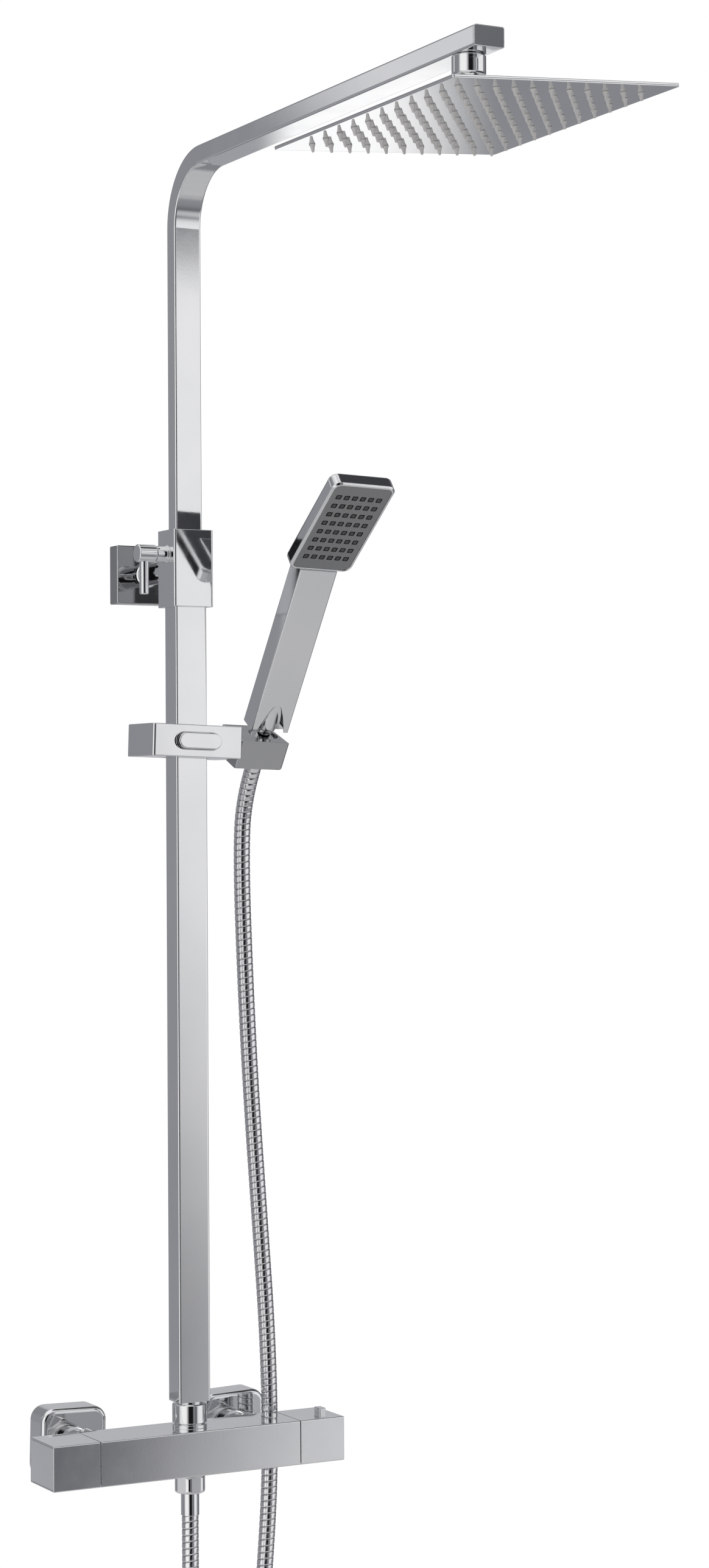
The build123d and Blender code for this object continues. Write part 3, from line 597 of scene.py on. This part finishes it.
# Each patch is laid over the ones before it: azimuth from the front towards the right and elevation,
# how far from there it is full and how far it is gone, all in degrees, then its brightness and squat.
STUDIO = (
    (152, -10, 22, 48, 0.28, 1.0),
    (150.9, -10.7, 1.8, 4.7, 1.15, 1.0),
    (160, -10, 6.6, 7.4, 0.39, 0.6),
    (155, 13, 12, 26, 0.53, 1.0),
    (-152, -1, 8, 20, 0.32, 1.0),
    (-147, 17, 5.6, 7.9, 0.74, 1.0),
    (-160, -18, 6, 10, 0.45, 1.0),
    (-68, 0, 14, 36, 1.0, 0.4),
    (-50, 0, 1.0, 3.0, 0.15, 0.4),
    (-17, 0, 11, 21, 0.01, 0.35),
    (23, -14, 6, 20, 0.17, 1.0),
    (49, 9.5, 24, 32.3, 0.92, 1.0),
    (33, -15, 3, 10.5, 0.78, 1.0),
    (25.5, 12.3, 1.0, 3.0, 0.17, 1.0),
    (31.5, 15, 3.0, 5.2, 0.17, 1.0),
    (112, 0, 8, 20, 0.16, 0.4),
    (0, 90, 30, 62, 0.95, 1.0),
    (90, 57, 20, 32, 0.06, 1.0),
    (0, -90, 25, 60, 0.42, 1.0),
)


def patch(under, toward, inner, outer, value, squat):
    """A soft patch of the studio, seen towards one direction: round at a squat of 1, taller below it."""
    level = sky_nodes.new("ShaderNodeVectorMath")
    level.operation = "MULTIPLY"
    level.inputs[1].default_value = (1, 1, squat)
    sky_links.new(direction, level.inputs[0])
    unit = sky_nodes.new("ShaderNodeVectorMath")
    unit.operation = "NORMALIZE"
    sky_links.new(level.outputs["Vector"], unit.inputs[0])
    dot = sky_nodes.new("ShaderNodeVectorMath")
    dot.operation = "DOT_PRODUCT"
    dot.inputs[1].default_value = Vector((toward[0], toward[1], toward[2] * squat)).normalized()
    sky_links.new(unit.outputs["Vector"], dot.inputs[0])
    fade = sky_nodes.new("ShaderNodeMapRange")
    fade.interpolation_type = "SMOOTHSTEP"
    fade.inputs["From Min"].default_value = math.cos(math.radians(outer))
    fade.inputs["From Max"].default_value = math.cos(math.radians(inner))
    sky_links.new(dot.outputs["Value"], fade.inputs["Value"])
    mix = sky_nodes.new("ShaderNodeMix")
    mix.data_type = "RGBA"
    colours = [s for s in mix.inputs if s.type == "RGBA"]
    cool = COOLNESS * max(0.0, 1 - value)
    colours[1].default_value = (value * (1 - cool), value * (1 - 0.85 * cool), value, 1)
    if under is None:
        colours[0].default_value = ROOM_TONE
    else:
        sky_links.new(under, colours[0])
    sky_links.new(fade.outputs["Result"], mix.inputs["Factor"])
    return [s for s in mix.outputs if s.type == "RGBA"][0]


def add_studio():
    """The patches light the object and are mirrored in it. The camera itself sees plain white."""
    studio = None
    for azimuth, elevation, inner, outer, value, squat in STUDIO:
        turn, lift = math.radians(azimuth), math.radians(elevation)
        toward = (math.sin(turn) * math.cos(lift), -math.cos(turn) * math.cos(lift), math.sin(lift))
        studio = patch(studio, toward, inner, outer, value, squat)
    light_path = sky_nodes.new("ShaderNodeLightPath")
    lit = sky_nodes.new("ShaderNodeBackground")
    sky_links.new(studio, lit.inputs["Color"])
    backdrop = sky_nodes.new("ShaderNodeBackground")
    backdrop.inputs["Color"].default_value = (1, 1, 1, 1)
    either = sky_nodes.new("ShaderNodeMixShader")
    sky_links.new(light_path.outputs["Is Camera Ray"], either.inputs["Fac"])
    sky_links.new(lit.outputs["Background"], either.inputs[1])
    sky_links.new(backdrop.outputs["Background"], either.inputs[2])
    world_output = sky_nodes.new("ShaderNodeOutputWorld")
    sky_links.new(either.outputs["Shader"], world_output.inputs["Surface"])


def softbox(name, place, towards, size, power):
    data = bpy.data.lights.new(name, "AREA")
    data.shape = "RECTANGLE"
    data.size, data.size_y = size
    data.energy = power
    lamp = bpy.data.objects.new(name, data)
    scene.collection.objects.link(lamp)
    lamp.location = place
    lamp.rotation_euler = (Vector(towards) - Vector(place)).to_track_quat("-Z", "Y").to_euler()
    lamp.visible_camera = False
    lamp.visible_glossy = False


add_studio()
softbox("key_light", (1.6, -3.0, 1.8), (0, -0.2, 0.4), (1.0, 2.2), 6)
softbox("fill_light", (-2.6, -1.6, 1.2), (0, -0.2, 0.4), (0.8, 2.0), 4)
softbox("low_light", (-1.9, -2.4, -0.5), (0, -0.55, 1.0), (1.2, 1.2), 9)
softbox("back_light", (1.2, 2.2, 1.6), (0, -0.2, 0.4), (1.4, 1.4), 5)

# ---------------------------------------------------------------- floor
FLOOR_Z = -1
FLOOR_R = 2.4
FLOOR_THICK = 0.01
FADE_FROM, FADE_TO = 1.7, 2.35


def floor_material():
    """Pale matt sheet that fades out towards its rim."""
    made = Shader("studio_floor", Roughness=0.7)
    tone = made.spread(made.noise(2.0, 3.0), 0, 1)
    made.feed(made.blend(tone, grey(0.86), grey(0.83)), "Base Color")
    reach = made.node("ShaderNodeVectorMath", operation="LENGTH")
    made.link(made.place((1, 1, 0)), reach.inputs[0])
    made.feed(made.spread(reach.outputs["Value"], 1, 0, FADE_FROM, FADE_TO), "Alpha")
    return made.material


# The floor is a round sheet, far enough down to stay clear of the hose.
sheet = [(FLOOR_Z, FLOOR_R), (FLOOR_Z - FLOOR_THICK, FLOOR_R)]
floor = turned("floor", sheet, (0, 0, 0), (0, 0, 1), None, 96, floor_material())
